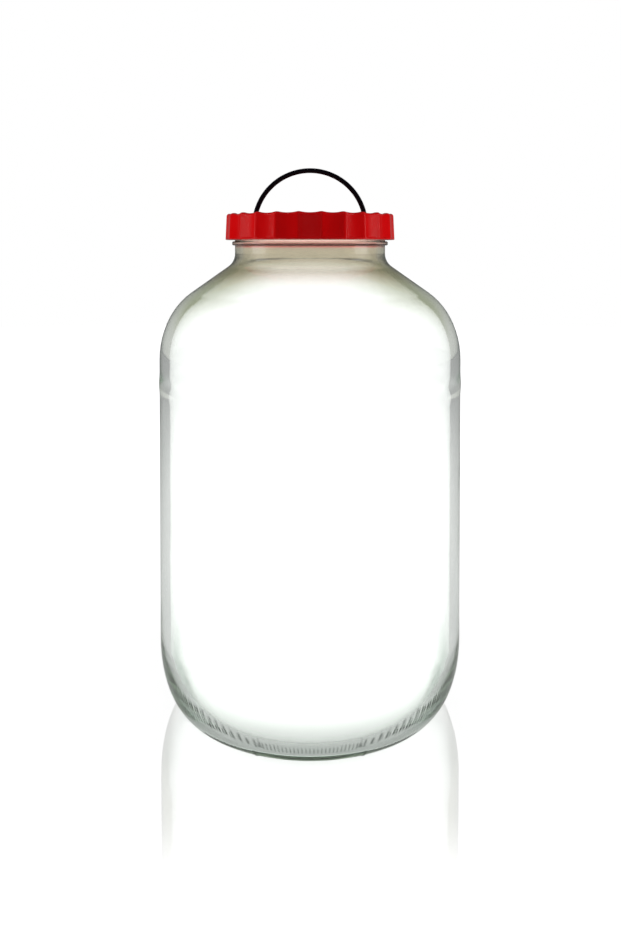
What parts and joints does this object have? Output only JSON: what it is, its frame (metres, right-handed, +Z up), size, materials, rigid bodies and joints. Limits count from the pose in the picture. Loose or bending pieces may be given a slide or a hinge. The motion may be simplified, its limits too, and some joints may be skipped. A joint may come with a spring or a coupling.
{
  "type": "glass storage jar",
  "caption": "Tall round-shouldered glass storage jar with a fluted screw lid and a fold-down wire bail on top of the lid.",
  "frame": {"origin": "centre of the bearing ring under the jar, on the surface that it stands on", "axes": "+Z up along the jar's axis; the bail's pivot axis lies along X; -Y is the front"},
  "size_m": [0.2152, 0.2152, 0.3812],
  "materials": {
    "glass": "clear pale green soda-lime glass, fire polished",
    "lid_plastic": "moulded red, satin gloss",
    "liner_foam": "off-white foam sheet",
    "bail_wire": "black coated steel wire"
  },
  "bodies": {
    "jar": {"glass_jar": "glass"},
    "liner": {"lid_liner": "liner_foam"},
    "lid": {"screw_lid": "lid_plastic"},
    "bail": {"bail_handle": "bail_wire"}
  },
  "joints": [
    {"name": "lid_lift", "type": "slide", "parent": "jar", "child": "liner", "axis": [0, 0, 1], "range_m": [0, 0.0181]},
    {"name": "lid_turn", "type": "hinge", "parent": "liner", "child": "lid", "pos_m": [0, 0, 0.34002], "axis": [0, 0, 1], "range_deg": [0, 540]},
    {"name": "bail_fold", "type": "hinge", "parent": "lid", "child": "bail", "pos_m": [0, 0, 0.34512], "axis": [1, 0, 0], "range_deg": [-90, 90]}
  ],
  "couplings": [
    {"joint": "lid_lift", "follows": "lid_turn", "m_per_rad": 0.0019099}
  ]
}
